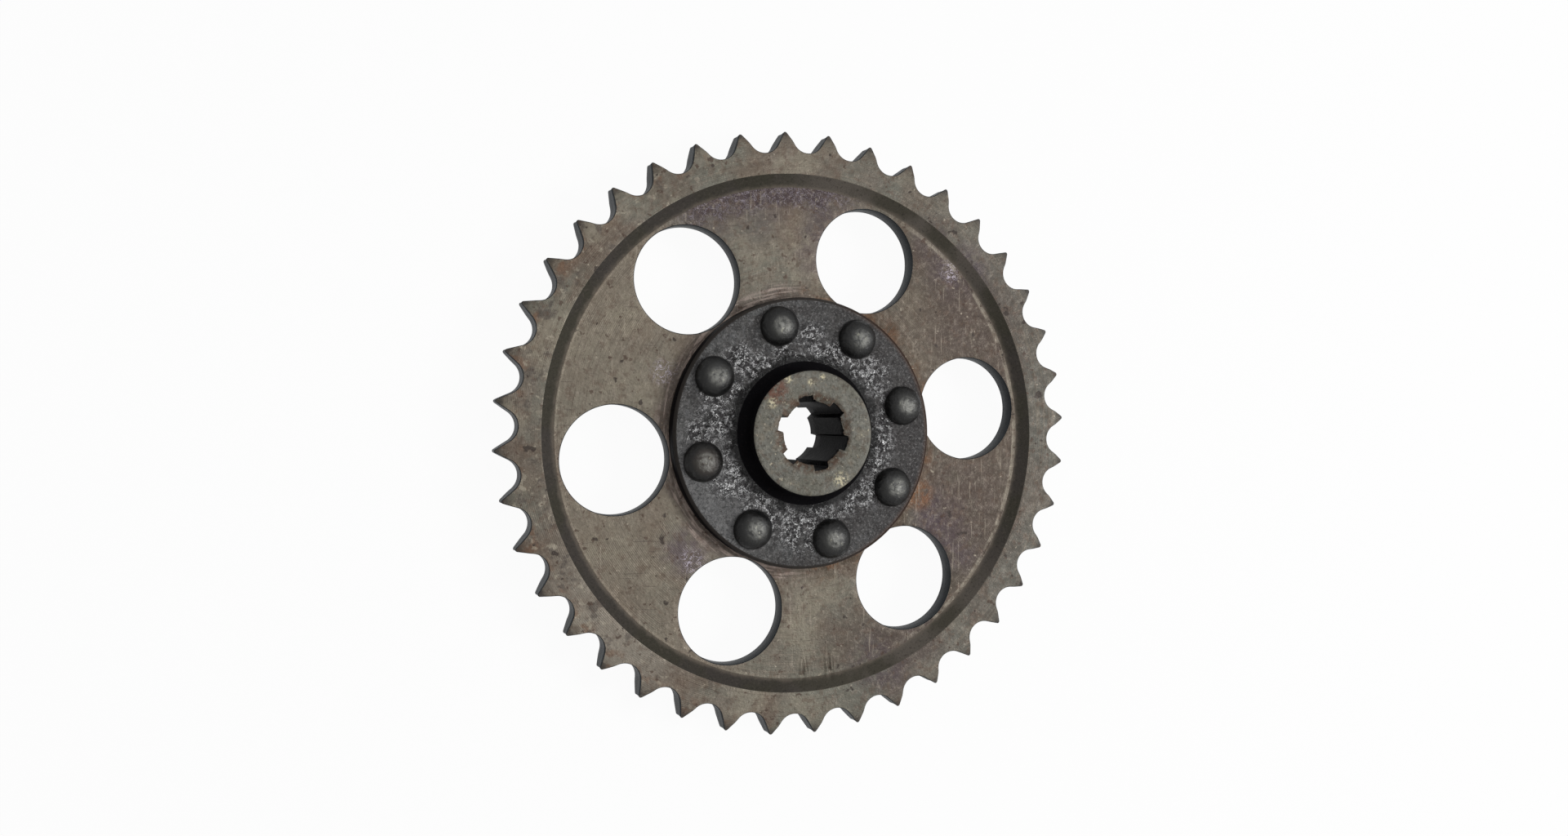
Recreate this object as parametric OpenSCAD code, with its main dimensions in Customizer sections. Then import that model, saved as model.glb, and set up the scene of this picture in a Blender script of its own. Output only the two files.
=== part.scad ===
// Riveted rear sprocket: a toothed plate and a splined hub, held together by a ring of domed rivets.
// Millimetres. The axis of rotation is Z. The rear end of the hub rests on z = 0 and the hub's
// flange, the plate's recess and the front boss face +Z.

/* [Chain and teeth] */
// Pitch of the drive chain
chain_pitch = 15.875; // [13:0.005:19.05]
// Number of teeth
teeth = 40; // [36:1:48]
// Diameter of the chain's rollers
roller_d = 10.16; // [9:0.01:10.5]
// Extra diameter that wear has given the seats between the teeth
seat_wear = 1.04; // [0:0.02:1.2]
// Width of the blunt land left on a tooth's tip
tip_land = 0.9; // [0.4:0.1:2]
// Radial width of the bevel on both faces of the teeth
bevel_w = 3.7; // [1:0.1:5]
// Depth of that bevel at the tip
bevel_depth = 1.6; // [0.5:0.1:2.5]
// Angle of the first tooth round the axis
tooth_turn = 3.5; // [0:0.1:9]

/* [Toothed plate] */
// Thickness of the plate at its toothed rim
plate_t = 9; // [7:0.1:12]
// Depth of the front recess inside the rim
recess_depth = 2.4; // [1:0.1:3.5]
// Radial width of the rim between the tooth roots and the edge of the recess
rim_w = 7.2; // [5:0.1:12]
// Radial width of the sloping step into the recess
step_w = 4.2; // [3:0.1:8]
// Radius that blends the step into the web
step_fillet = 3; // [1:0.1:5]
// Number of round lightening windows
window_count = 6; // [5:1:8]
// Metal left between the hub's flange and a window
window_land_in = 0.5; // [0.3:0.1:4]
// Metal left between a window and the foot of the step
window_land_out = 1.5; // [0.8:0.1:6]
// Angle of the first window round the axis
window_turn = 8.1; // [0:0.1:60]

/* [Hub] */
// Large diameter of the splined bore
spline_major_d = 25; // [23:0.1:30]
// Small diameter of the splined bore
spline_minor_d = 21; // [17:0.1:22]
// Number of spline grooves
groove_count = 6; // [4:1:8]
// Width of a spline groove
groove_w = 5; // [3:0.1:6]
// Angle of the first spline groove round the axis
groove_turn = 44; // [0:0.1:60]
// Wall between the spline grooves and the outside of the bosses
boss_wall = 8.6; // [6:0.1:12]
// Length of the front boss above the flange
front_boss_l = 7.8; // [6:0.1:20]
// Length of the rear boss behind the plate
rear_boss_l = 10.2; // [6:0.1:20]
// Radius of the concave fillet round the foot of the front boss
boss_fillet = 4.5; // [1:0.1:5.5]
// Chamfer on the bosses' end edges
boss_chamfer = 0.5; // [0.2:0.1:1.5]
// Thickness of the flange
flange_t = 6.4; // [4:0.1:10]
// Chamfer on the flange's front edge
flange_chamfer = 1; // [0.3:0.1:2]
// Step from the rear boss out to the register that centres the plate
register_step = 5; // [2:0.1:7]
// Radial clearance between the register and the plate
register_clear = 0.05; // [0.02:0.01:0.15]

/* [Rivets] */
// Number of rivets
rivet_count = 8; // [6:1:10]
// Diameter of a rivet's shank
rivet_d = 8; // [6:0.1:10]
// Radial clearance between a shank and its holes
rivet_clear = 0.05; // [0.02:0.01:0.15]
// Diameter of a rivet's domed head
head_d = 13.6; // [12:0.1:17]
// Height of a domed head
head_h = 4.8; // [3:0.1:6]
// Flat between the boss fillet and the rivet heads
rivet_land_in = 4.9; // [2:0.1:10]
// Flat between the rivet heads and the rim of the flange
rivet_land_out = 2.1; // [1.2:0.1:8]
// Angle of the first rivet round the axis
rivet_turn = 15; // [0:0.1:45]

/* [Hidden] */
$fn = 96;
past = 1;          // how far a cutter runs past the face it cuts
arc_steps = 8;     // straight pieces in a blend's cross-section

pitch_r = chain_pitch / (2 * sin(180 / teeth));
root_r = pitch_r - roller_d / 2;
tip_r = pitch_r + ((1 - 1.6 / teeth) * chain_pitch - roller_d) / 2;
seat_r = (roller_d + seat_wear) / 2;

step_top_r = root_r - rim_w;
step_foot_r = step_top_r - step_w;
web_t = plate_t - recess_depth;

boss_r = spline_major_d / 2 + boss_wall;
register_r = boss_r + register_step;
rivet_circle_r = boss_r + boss_fillet + rivet_land_in + head_d / 2;
flange_r = rivet_circle_r + head_d / 2 + rivet_land_out;

window_in_r = flange_r + window_land_in;
window_out_r = step_foot_r - window_land_out;
window_r = (window_out_r - window_in_r) / 2;
window_circle_r = (window_out_r + window_in_r) / 2;

plate_z = rear_boss_l;
web_z = plate_z + web_t;
flange_z = web_z + flange_t;
hub_l = flange_z + front_boss_l;

// Points on an arc round c, from angle a0 to angle a1
function arc(c, r, a0, a1) =
    [for (i = [0 : arc_steps]) c + r * [cos(a0 + (a1 - a0) * i / arc_steps), sin(a0 + (a1 - a0) * i / arc_steps)]];

// Copies its children round the axis, the first one at the angle turn
module ring_of(count, turn) {
    for (i = [0 : count - 1])
        rotate(turn + 360 * i / count)
            children();
}

// The space between two teeth, along +X: a round seat, and flanks that run from it to the tips' lands
module tooth_gap() {
    seat = [root_r + seat_r, 0];
    corner_a = 180 / teeth - asin(tip_land / 2 / tip_r);
    corner = tip_r * [cos(corner_a), sin(corner_a)];
    reach = norm(corner - seat);
    touch_a = atan2(corner.y, corner.x - seat.x) + acos(seat_r / reach);
    touch = seat + seat_r * [cos(touch_a), sin(touch_a)];
    outside = [tip_r + past, corner.y];
    half = [seat, touch, corner, outside];
    translate(seat) circle(seat_r);
    polygon(concat(half, [for (i = [3 : -1 : 1]) [half[i].x, -half[i].y]]));
}

// Half cross-section of the plate before its teeth and windows are cut
module plate_profile() {
    slope = atan(recess_depth / step_w);
    blend_r = min(step_fillet, 0.8 * recess_depth / (1 - cos(slope)));
    blend = [step_foot_r - blend_r * tan(slope / 2), web_t + blend_r];
    bevel_r = tip_r - bevel_w;
    polygon(concat(
        [[register_r + register_clear, 0],
         [bevel_r, 0],
         [tip_r, bevel_depth],
         [tip_r, plate_t - bevel_depth],
         [bevel_r, plate_t],
         [step_top_r, plate_t]],
        arc(blend, blend_r, slope - 90, -90),
        [[register_r + register_clear, web_t]]));
}

// Holes for the rivets' shanks through the plate and the flange
module rivet_holes() {
    ring_of(rivet_count, rivet_turn)
        translate([rivet_circle_r, 0, plate_z - past])
            cylinder(h = web_t + flange_t + 2 * past, r = rivet_d / 2 + rivet_clear);
}

module sprocket_plate() {
    color("#7a746b")
    difference() {
        translate([0, 0, plate_z])
            rotate_extrude()
                plate_profile();
        translate([0, 0, plate_z - past])
            linear_extrude(plate_t + 2 * past)
                ring_of(teeth, tooth_turn + 180 / teeth)
                    tooth_gap();
        ring_of(window_count, window_turn)
            translate([window_circle_r, 0, plate_z - past])
                cylinder(h = plate_t + 2 * past, r = window_r);
        rivet_holes();
    }
}

// Half cross-section of the hub as a solid bar: rear boss, register, flange, front boss
module hub_profile() {
    polygon(concat(
        [[0, 0],
         [boss_r - boss_chamfer, 0],
         [boss_r, boss_chamfer],
         [boss_r, plate_z],
         [register_r, plate_z],
         [register_r, web_z],
         [flange_r, web_z],
         [flange_r, flange_z - flange_chamfer],
         [flange_r - flange_chamfer, flange_z]],
        arc([boss_r + boss_fillet, flange_z + boss_fillet], boss_fillet, -90, -180),
        [[boss_r, hub_l - boss_chamfer],
         [boss_r - boss_chamfer, hub_l],
         [0, hub_l]]));
}

// Cross-section of the splined bore
module spline_section() {
    circle(d = spline_minor_d);
    intersection() {
        circle(d = spline_major_d);
        ring_of(groove_count, groove_turn)
            translate([0, -groove_w / 2])
                square([spline_major_d, groove_w]);
    }
}

module splined_hub() {
    color("#3d3935")
    difference() {
        rotate_extrude()
            hub_profile();
        translate([0, 0, -past])
            linear_extrude(hub_l + 2 * past)
                spline_section();
        rivet_holes();
    }
}

// A dome on the plane z = 0, as wide as a rivet's head
module dome() {
    ball_r = (head_h * head_h + head_d * head_d / 4) / (2 * head_h);
    intersection() {
        translate([0, 0, head_h - ball_r])
            sphere(ball_r);
        cylinder(h = head_h + past, r = head_d);
    }
}

// Rivet number i: a shank between the plate's back and the flange's front, with a dome at each end
module rivet(i) {
    color("#4a4642")
    rotate(rivet_turn + 360 * (i - 1) / rivet_count)
        translate([rivet_circle_r, 0, plate_z]) {
            cylinder(h = web_t + flange_t, d = rivet_d);
            translate([0, 0, web_t + flange_t])
                dome();
            mirror([0, 0, 1])
                dome();
        }
}

sprocket_plate();
splined_hub();
for (i = [1 : rivet_count])
    rivet(i);
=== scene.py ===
"""A used riveted rear sprocket: toothed plate, splined hub and domed rivets, in metres."""
import math
import random

import bpy
import bmesh
from mathutils import Matrix, Vector, noise
from mathutils.geometry import delaunay_2d_cdt


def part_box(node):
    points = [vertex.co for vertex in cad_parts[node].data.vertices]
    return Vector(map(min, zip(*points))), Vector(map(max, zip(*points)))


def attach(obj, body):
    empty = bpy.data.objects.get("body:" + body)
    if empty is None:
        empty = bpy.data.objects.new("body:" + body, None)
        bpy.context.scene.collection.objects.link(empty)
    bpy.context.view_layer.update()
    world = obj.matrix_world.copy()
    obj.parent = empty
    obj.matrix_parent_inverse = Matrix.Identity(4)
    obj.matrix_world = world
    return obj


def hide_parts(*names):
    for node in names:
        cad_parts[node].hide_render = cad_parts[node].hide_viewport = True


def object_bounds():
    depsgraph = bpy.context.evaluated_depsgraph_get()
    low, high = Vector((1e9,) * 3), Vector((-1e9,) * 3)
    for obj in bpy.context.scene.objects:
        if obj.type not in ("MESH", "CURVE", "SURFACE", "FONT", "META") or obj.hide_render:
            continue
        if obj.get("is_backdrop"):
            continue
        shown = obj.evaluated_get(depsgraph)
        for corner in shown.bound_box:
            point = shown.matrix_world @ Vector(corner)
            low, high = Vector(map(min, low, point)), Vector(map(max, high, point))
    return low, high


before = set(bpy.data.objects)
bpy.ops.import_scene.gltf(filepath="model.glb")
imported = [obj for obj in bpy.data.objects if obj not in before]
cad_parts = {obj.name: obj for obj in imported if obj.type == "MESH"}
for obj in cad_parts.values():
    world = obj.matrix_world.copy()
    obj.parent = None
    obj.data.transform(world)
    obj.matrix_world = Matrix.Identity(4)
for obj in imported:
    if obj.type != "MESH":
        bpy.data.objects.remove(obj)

cad_low, cad_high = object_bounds()

# ---------------------------------------------------------------------------------------------
# Toothed plate. The real one is cut from medium-carbon steel: turned with a shallow recess inside
# the rim, bored with six lightening windows, and hobbed. Long use has sharpened its teeth, and the
# faces carry a thin, uneven film of oil, dust and light rust.

MM = 0.001                       # the meshes are built in millimetres and scaled once, at the end
plate_low, plate_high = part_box("sprocket_plate")
PLATE_BACK = plate_low.z / MM
RIM_FACE = plate_high.z / MM
RECESS_DEPTH = 2.4
WEB_FACE = RIM_FACE - RECESS_DEPTH

TEETH = 40
CHAIN_PITCH = 15.875
ROLLER_R = 5.08
SEAT_R = 5.6                     # the seats between the teeth, worn wider than the roller
PITCH_R = CHAIN_PITCH / (2 * math.sin(math.pi / TEETH))
ROOT_R = PITCH_R - ROLLER_R
TIP_R = PITCH_R + ((1 - 1.6 / TEETH) * CHAIN_PITCH / 2 - ROLLER_R)
TIP_LAND = 0.75
TOOTH_TURN = 3.5                 # degrees from +X to the first tooth
BEVEL_W = 3.7
BEVEL_DEPTH = 1.6
EDGE = 0.2                       # worn rounding on the sharp edges
TIP_WEAR = 0.35                  # the most that a tooth's tip is worn short
TOOTH_LEAN = 0.22                # the most that a tip is worn over to one side
RIM_RINGS = (95.0, 93.2, 91.2)   # plain circles across the rim's face, from just inside the teeth

STEP_TOP_R = ROOT_R - 7.2
STEP_FOOT_R = STEP_TOP_R - 4.2
WINDOWS = 6
WINDOW_R = 18.24
WINDOW_CIRCLE_R = 64.94
WINDOW_TURN = 8.1
WINDOW_MOUTH = 1.2 * EDGE        # chamfer round a window's mouth
WINDOW_STEPS = 120
PLATE_BORE_R = 26.15
RIVET_HOLE_R = 4.05
RIVET_HOLE_STEPS = 24

rivet_names = sorted(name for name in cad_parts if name.startswith("rivet_"))
rivet_centres = []
for name in rivet_names:
    low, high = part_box(name)
    rivet_centres.append((low + high) / (2 * MM))
RIVET_CIRCLE_R = rivet_centres[0].xy.length


class Shell:
    """A closed mesh put together from rings of points, in millimetres."""

    def __init__(self):
        self.points = []
        self.faces = []
        self.kinds = []

    def ring(self, points):
        first = len(self.points)
        self.points.extend(Vector(p) for p in points)
        return list(range(first, len(self.points)))

    def face(self, corners, kind):
        self.faces.append(corners)
        self.kinds.append(kind)

    def band(self, a, b, kind=0):
        """Joins two rings of as many points."""
        for i in range(len(a)):
            j = (i + 1) % len(a)
            self.face((a[i], a[j], b[j], b[i]), kind)

    def halve(self, a, points, kind=0):
        """Joins ring a to a new ring with half as many points."""
        b = self.ring(points)
        for i in range(len(b)):
            a0, a1, a2 = a[2 * i], a[2 * i + 1], a[(2 * i + 2) % len(a)]
            b0, b1 = b[i], b[(i + 1) % len(b)]
            self.face((a0, a1, b0), kind)
            self.face((a1, a2, b1, b0), kind)
        return b

    def fill(self, rings, inside, extra, height, kind=0):
        """Triangulates the flat area between rings through extra points, and keeps what lies inside()."""
        ids = [i for r in rings for i in r]
        edges = []
        for r in rings:
            start = sum(len(q) for q in rings[:rings.index(r)])
            edges += [(start + i, start + (i + 1) % len(r)) for i in range(len(r))]
        flat = [self.points[i].xy for i in ids]
        ids += self.ring((x, y, height) for x, y in extra)
        flat += [Vector(p) for p in extra]
        verts, _, faces, origin, _, _ = delaunay_2d_cdt(flat, edges, [], 0, 1e-7)
        for f in faces:
            centre = sum((verts[i] for i in f), Vector((0, 0))) / len(f)
            if inside(centre.x, centre.y, 0):
                self.face(tuple(ids[origin[i][0]] for i in f), kind)

    def piece(self, name, materials):
        """Turns the shell into an object in metres, with all its faces outward."""
        mesh = bpy.data.meshes.new(name)
        mesh.from_pydata([p * MM for p in self.points], [], self.faces)
        for m in materials:
            mesh.materials.append(m)
        mesh.polygons.foreach_set("material_index", self.kinds)
        work = bmesh.new()
        work.from_mesh(mesh)
        bmesh.ops.delete(work, geom=[v for v in work.verts if not v.link_faces], context="VERTS")
        bmesh.ops.recalc_face_normals(work, faces=work.faces)
        work.to_mesh(mesh)
        work.free()
        obj = bpy.data.objects.new(name, mesh)
        bpy.context.scene.collection.objects.link(obj)
        mesh.shade_smooth()
        return obj


def polar(radius, degrees, z=0.0):
    a = math.radians(degrees)
    return Vector((radius * math.cos(a), radius * math.sin(a), z))


def circle(radius, z, count, centre=(0, 0), turn=0.0):
    return [polar(radius, turn + 360 * i / count, z) + Vector((*centre, 0)) for i in range(count)]


def tooth_half(arc_steps=9, flank_steps=6, tip_steps=3):
    """From the bottom of a gap to the middle of a tip, for a tooth that points along +X."""
    half = math.pi / TEETH
    seat = Vector((ROOT_R + SEAT_R, 0))
    corner_a = half - math.asin(TIP_LAND / 2 / TIP_R)
    corner = TIP_R * Vector((math.cos(corner_a), -math.sin(corner_a)))
    reach = corner - seat
    touch_a = math.atan2(-reach.y, reach.x) + math.acos(SEAT_R / reach.length)
    points = []
    for i in range(arc_steps):
        a = math.pi + (math.tau / 2 - touch_a) * i / arc_steps
        points.append(seat + SEAT_R * Vector((math.cos(a), math.sin(a))))
    touch = seat + SEAT_R * Vector((math.cos(touch_a), -math.sin(touch_a)))
    blunt = corner + (touch - corner).normalized() * 0.45
    for i in range(flank_steps):
        points.append(touch.lerp(blunt, i / flank_steps))
    middle = TIP_R * Vector((math.cos(half), -math.sin(half)))
    for i in range(tip_steps):
        t = i / tip_steps
        points.append(blunt.lerp(corner, t).lerp(corner.lerp(middle, t), t))
    turn = Matrix.Rotation(half, 2)
    return [turn @ p for p in points], turn @ middle


def outline():
    """The whole toothed edge, each tooth worn a little differently."""
    wear = random.Random(7)
    half, middle = tooth_half()
    left = [Vector((p.x, -p.y)) for p in half]
    right = [middle] + half[:0:-1]
    points = []
    for k in range(TEETH):
        cut = wear.uniform(0.0, TIP_WEAR)
        lean = wear.uniform(-TOOTH_LEAN, TOOTH_LEAN)
        for p in left + right:
            height = max(0.0, (p.length - ROOT_R) / (TIP_R - ROOT_R))
            q = Vector((p.x - cut * height ** 3, p.y + lean * height ** 2))
            points.append(Matrix.Rotation(math.radians(TOOTH_TURN + 360 / TEETH * k), 2) @ q)
    return points


def inset(points, depth):
    """Moves a closed outline towards its inside."""
    moved = []
    for i, p in enumerate(points):
        along = (points[(i + 1) % len(points)] - points[i - 1]).normalized()
        moved.append(p + depth * Vector((-along.y, along.x)))
    return moved


def bevel_drop(radius):
    """How far the tooth bevel lies below the rim's face at this radius."""
    return max(0.0, BEVEL_DEPTH * (radius - (TIP_R - BEVEL_W)) / BEVEL_W)


def window_centres():
    return [polar(WINDOW_CIRCLE_R, WINDOW_TURN + 360 * i / WINDOWS) for i in range(WINDOWS)]


def in_web(outer_r, inner_r):
    """Tests whether a point lies on the web: inside outer_r, and clear of the bore and every hole."""
    windows = window_centres()
    mouth_r = (WINDOW_R + WINDOW_MOUTH) * math.cos(math.pi / WINDOW_STEPS)
    rivet_r = RIVET_HOLE_R * math.cos(math.pi / RIVET_HOLE_STEPS)

    def inside(x, y, margin):
        r = math.hypot(x, y)
        if not inner_r + margin < r < outer_r - margin:
            return False
        if any(math.hypot(x - w.x, y - w.y) < mouth_r + margin for w in windows):
            return False
        return all(math.hypot(x - c.x, y - c.y) > rivet_r + margin for c in rivet_centres)
    return inside


def scatter(inside, spacing, margin):
    """Points on a triangular grid, kept where inside() allows."""
    rows = int(100 / (spacing * 0.866))
    spots = []
    for j in range(-rows, rows + 1):
        for i in range(-rows, rows + 1):
            x, y = spacing * (i + 0.5 * (j % 2)), spacing * 0.866 * j
            if inside(x, y, margin):
                spots.append((x, y))
    return spots


# The two dents by the foot of the step: where each starts and ends on the web, and how wide it is.
DENTS = (((1.6, -84.3), (1.9, -78.2), 0.9), ((11.7, -84.2), (10.8, -76.4), 1.1),
         ((3.2, -81.6), (2.6, -77.0), 0.5), ((12.9, -81.5), (12.6, -77.5), 0.4))
DENTS_BOX = (-3.4, 16.4, -83.5, -75.0)   # the area with a fine mesh round them: left, right, low, high


def dent_height(x, y):
    """Height of the pushed-up metal beside each dent, with the dent itself to its right."""
    total = 0.0
    for start, end, width in DENTS:
        a, b = Vector(start), Vector(end)
        t = (Vector((x, y)) - a).dot(b - a) / (b - a).length_squared
        if -0.2 < t < 1.1:
            side = (x - a.lerp(b, t).x) / width
            fade = max(0.0, 1 - t) ** 0.5 * min(1.0, (t + 0.2) * 4)
            ridge = 0.6 * math.exp(-(side + 0.5) ** 2 * 4)
            groove = 0.7 * math.exp(-(side - 0.45) ** 2 * 5)
            total += fade * width * (ridge - groove)
    return total


def build_plate(materials):
    FACE, STEP, WALL = 0, 1, 2
    shell = Shell()
    edge = outline()
    count = len(edge)
    worn = [p.lerp(q, 0.6) for p, q in zip(edge, inset(edge, 0.22))]
    lip = inset(edge, EDGE)

    def at(points, level, sign):
        return [(p.x, p.y, level - sign * bevel_drop(p.length)) for p in points]

    def side(base, sign, kind):
        """One face of the rim, from the toothed edge in to a plain circle."""
        top = shell.ring((x, y, z - sign * EDGE) for x, y, z in at(edge, base, sign))
        rounded = shell.ring(at(lip, base, sign))
        shell.band(top, rounded, WALL)
        first = TOOTH_TURN - 180 / TEETH
        inner = [polar(RIM_RINGS[0], first + 360 * i / count).xy for i in range(count)]
        crease = []
        for p, q in zip(lip, inner):
            share = max(0.1, (p.length - (TIP_R - BEVEL_W)) / (p.length - RIM_RINGS[0]))
            crease.append(p.lerp(q, min(share, 0.9)))
        rings = [rounded]
        rings.append(shell.ring(at(crease, base, sign)))
        rings.append(shell.ring(at([p.lerp(q, 0.5) for p, q in zip(crease, inner)], base, sign)))
        rings.append(shell.ring(at(inner, base, sign)))
        for a, b in zip(rings, rings[1:]):
            shell.band(a, b, kind)
        return top, rings[-1]

    front_top, front_in = side(RIM_FACE, 1, FACE)
    back_top, back_in = side(PLATE_BACK, -1, FACE)
    thick = RIM_FACE - PLATE_BACK
    walls = [back_top]
    for share in (0.28, 0.5, 0.72):
        points = worn if share == 0.5 else [p.lerp(q, 0.75) for p, q in zip(edge, worn)]
        low = PLATE_BACK + EDGE
        walls.append(shell.ring(
            (p.x, p.y, low + bevel_drop(p.length) + share * (thick - 2 * EDGE - 2 * bevel_drop(p.length)))
            for p in points))
    walls.append(front_top)
    for a, b in zip(walls, walls[1:]):
        shell.band(a, b, WALL)

    # The rim's face and the sloping step down into the recess, with a fine tool ridge at its foot
    columns = count // 2
    turn = TOOTH_TURN - 180 / TEETH
    ring = shell.halve(front_in, circle(RIM_RINGS[1], RIM_FACE, columns, turn=turn), FACE)
    for radius in (RIM_RINGS[2], STEP_TOP_R + 0.25):
        nearer = shell.ring(circle(radius, RIM_FACE, columns, turn=turn))
        shell.band(ring, nearer, FACE)
        ring = nearer
    slope = RECESS_DEPTH / (STEP_TOP_R - STEP_FOOT_R)
    profile = [(STEP_TOP_R - 0.12, RIM_FACE - 0.06), (STEP_TOP_R - 0.35, RIM_FACE - 0.35 * slope)]
    profile += [(STEP_FOOT_R + s, WEB_FACE + s * slope) for s in (3.0, 2.0, 1.1)]
    profile += [(STEP_FOOT_R + 0.55, WEB_FACE + 0.36), (STEP_FOOT_R + 0.1, WEB_FACE + 0.17),
                (STEP_FOOT_R - 0.3, WEB_FACE + 0.1), (STEP_FOOT_R - 0.5, WEB_FACE + 0.14),
                (STEP_FOOT_R - 0.72, WEB_FACE + 0.12), (STEP_FOOT_R - 0.95, WEB_FACE + 0.02),
                (STEP_FOOT_R - 1.2, WEB_FACE)]
    for k, (radius, z) in enumerate(profile):
        nearer = shell.ring(circle(radius, z, columns, turn=turn))
        shell.band(ring, nearer, STEP if 0 < k < 8 else FACE)
        ring = nearer
    web_rings = [ring]
    back_rings = [shell.halve(back_in, circle(RIM_RINGS[1], PLATE_BACK, columns, turn=turn), FACE)]

    # Windows, the bore and the rivet holes go through from the web to the back
    holes = [(WINDOW_R, w.xy, WINDOW_STEPS) for w in window_centres()]
    holes += [(PLATE_BORE_R, (0, 0), WINDOW_STEPS)]
    holes += [(RIVET_HOLE_R, c.xy, RIVET_HOLE_STEPS) for c in rivet_centres]
    for radius, centre, steps in holes:
        flare = WINDOW_MOUTH if radius == WINDOW_R else 0.0
        rows = []
        if flare:
            rows.append(shell.ring(circle(radius + flare, WEB_FACE, steps, centre)))
            rows.append(shell.ring(circle(radius + flare * 0.3, WEB_FACE - flare * 0.3, steps, centre)))
        rows.append(shell.ring(circle(radius, WEB_FACE - flare, steps, centre)))
        rows.append(shell.ring(circle(radius, (WEB_FACE + PLATE_BACK) / 2, steps, centre)))
        rows.append(shell.ring(circle(radius, PLATE_BACK + flare, steps, centre)))
        if flare:
            rows.append(shell.ring(circle(radius + flare, PLATE_BACK, steps, centre)))
        for a, b in zip(rows, rows[1:]):
            shell.band(a, b, WALL)
        web_rings.append(rows[0])
        back_rings.append(rows[-1])

    inside = in_web(STEP_FOOT_R - 1.2, PLATE_BORE_R)
    spots = scatter(inside, 2.0, 0.8)
    fine = 0.3
    near_dents = [(-3 + fine * i, -83.1 + fine * j) for i in range(64) for j in range(26)]
    left, right, low, high = DENTS_BOX
    spots = [s for s in spots if not (left < s[0] < right and low < s[1] < high)]
    spots += [s for s in near_dents if inside(*s, 0.3)]
    shell.fill(web_rings, inside, spots, WEB_FACE, FACE)
    inside_back = in_web(RIM_RINGS[1], PLATE_BORE_R)
    shell.fill(back_rings, inside_back, scatter(inside_back, 4.0, 1.5), PLATE_BACK, FACE)

    # Nothing on a used part is quite flat: slow waves in the web, and the dents
    for p in shell.points:
        if p.z > WEB_FACE - 0.5 and 47 < p.xy.length < STEP_FOOT_R + 1.5:
            p.z += 0.05 * noise.noise(Vector((p.x, p.y, 0)) * 0.06)
            p.z += dent_height(p.x, p.y)
    return shell.piece("toothed_plate", materials)


# Materials of the plate. Every pattern below is sized in millimetres on the real surface.

def srgb(code):
    """A colour written as sRGB hex, as linear red, green, blue and alpha."""
    parts = [int(code[i:i + 2], 16) / 255 for i in (1, 3, 5)]
    return [c / 12.92 if c <= 0.04045 else ((c + 0.055) / 1.055) ** 2.4 for c in parts] + [1.0]


def add(tree, kind, inputs=None, **settings):
    """Adds one node with its settings; inputs holds values, or other nodes' sockets to link."""
    made = tree.nodes.new(kind)
    for name, value in settings.items():
        setattr(made, name, value)
    for key, value in (inputs or {}).items():
        if isinstance(value, bpy.types.NodeSocket):
            tree.links.new(value, made.inputs[key])
        else:
            made.inputs[key].default_value = value
    return made


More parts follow.
